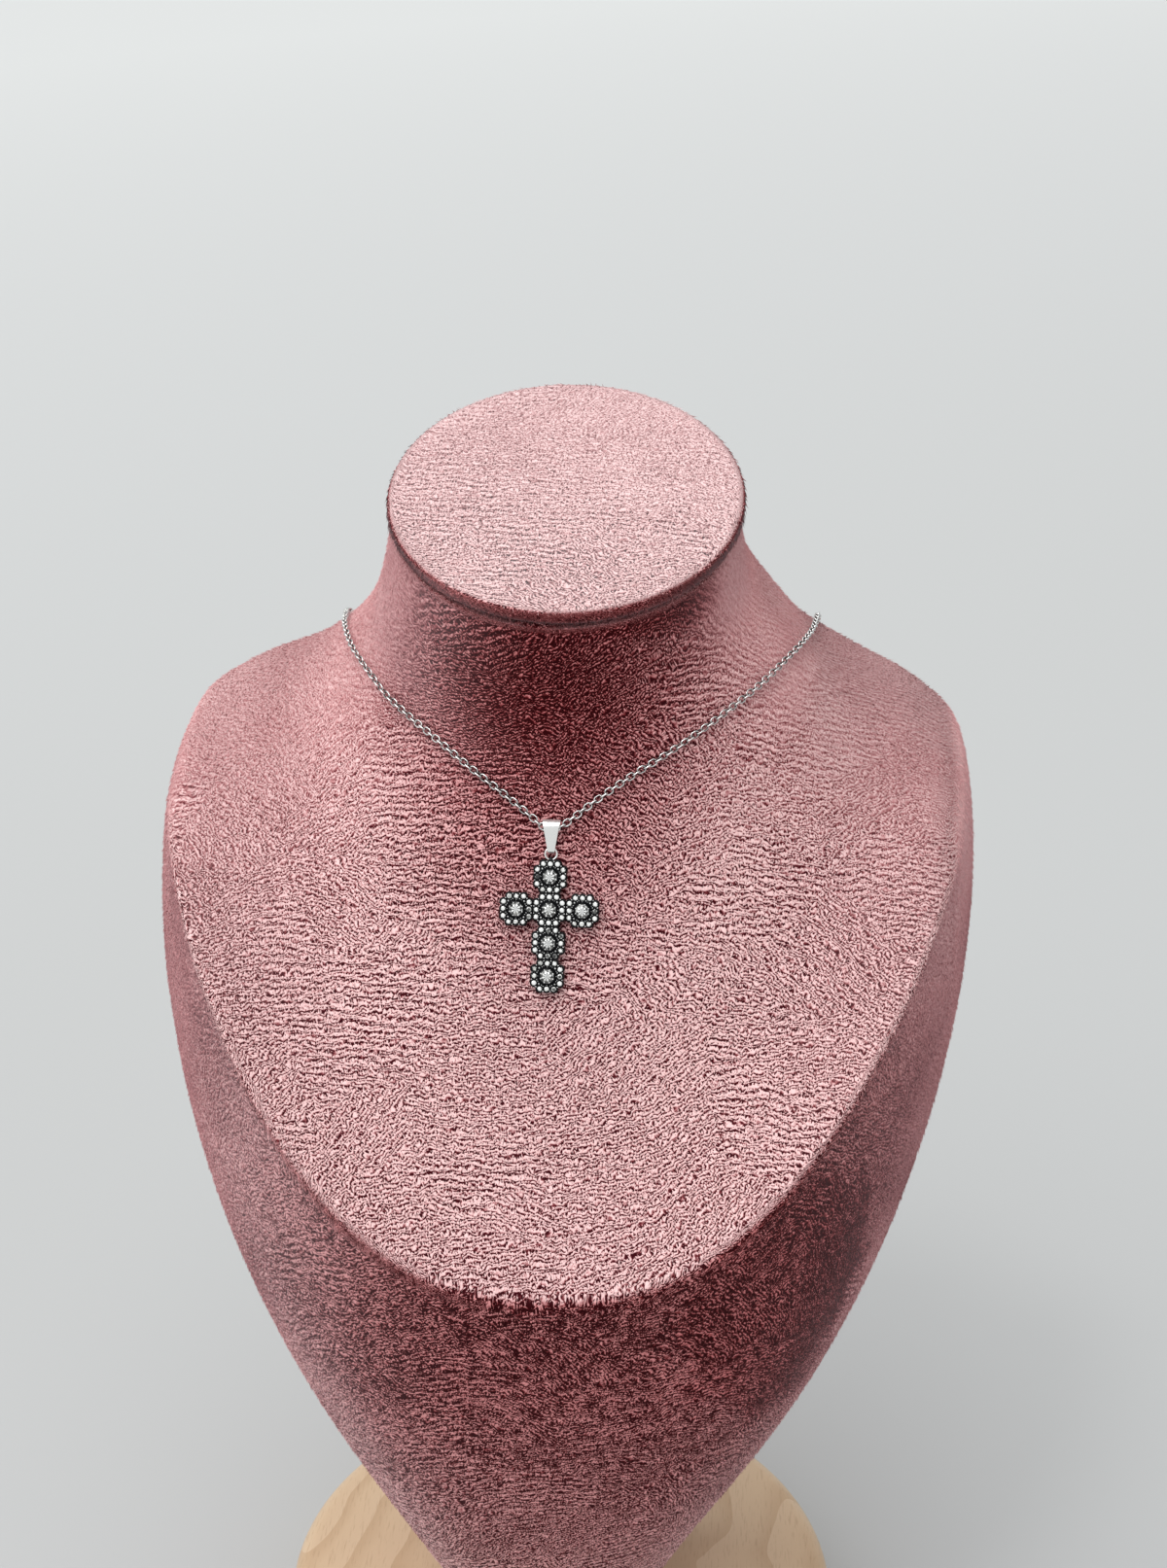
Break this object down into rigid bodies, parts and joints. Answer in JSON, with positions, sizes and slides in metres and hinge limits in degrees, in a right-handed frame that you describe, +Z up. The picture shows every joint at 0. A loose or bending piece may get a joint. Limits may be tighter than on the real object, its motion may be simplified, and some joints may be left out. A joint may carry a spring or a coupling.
{
  "type": "cross necklace on a plain neck bust",
  "caption": "Short cable chain with a stone-set cross pendant, laid round a velvet-covered neck bust that stands on a round wooden foot.",
  "frame": {"origin": "centre of the wooden foot's underside", "axes": "+Z up, -Y the side that the chest and the pendant face, +X to the right seen from the front"},
  "size_m": [0.1966, 0.1535, 0.3427],
  "materials": {
    "beech": "turned and lacquered, pale",
    "velvet": "dusty pink velvet with a brushed nap",
    "cap_velvet": "dusty pink velvet, smoothed",
    "chain_steel": "polished, silver-coloured",
    "bail_steel": "polished, silver-coloured",
    "antiqued_metal": "cast, blackened in the hollows and rubbed bright on top",
    "centre_stone": "cut and polished, foiled behind",
    "small_stone": "cut and polished, foiled behind"
  },
  "bodies": {
    "root": {"wood_base": "beech", "bust": "velvet", "neck_cap": "cap_velvet", "chain": "chain_steel", "clasp": "chain_steel", "bail": "bail_steel", "jump_ring": "bail_steel", "cross": "antiqued_metal", "centre_stone_1": "centre_stone", "centre_stone_2": "centre_stone", "centre_stone_3": "centre_stone", "centre_stone_4": "centre_stone", "centre_stone_5": "centre_stone", "centre_stone_6": "centre_stone", "small_stones": "small_stone"}
  },
  "joints": []
}
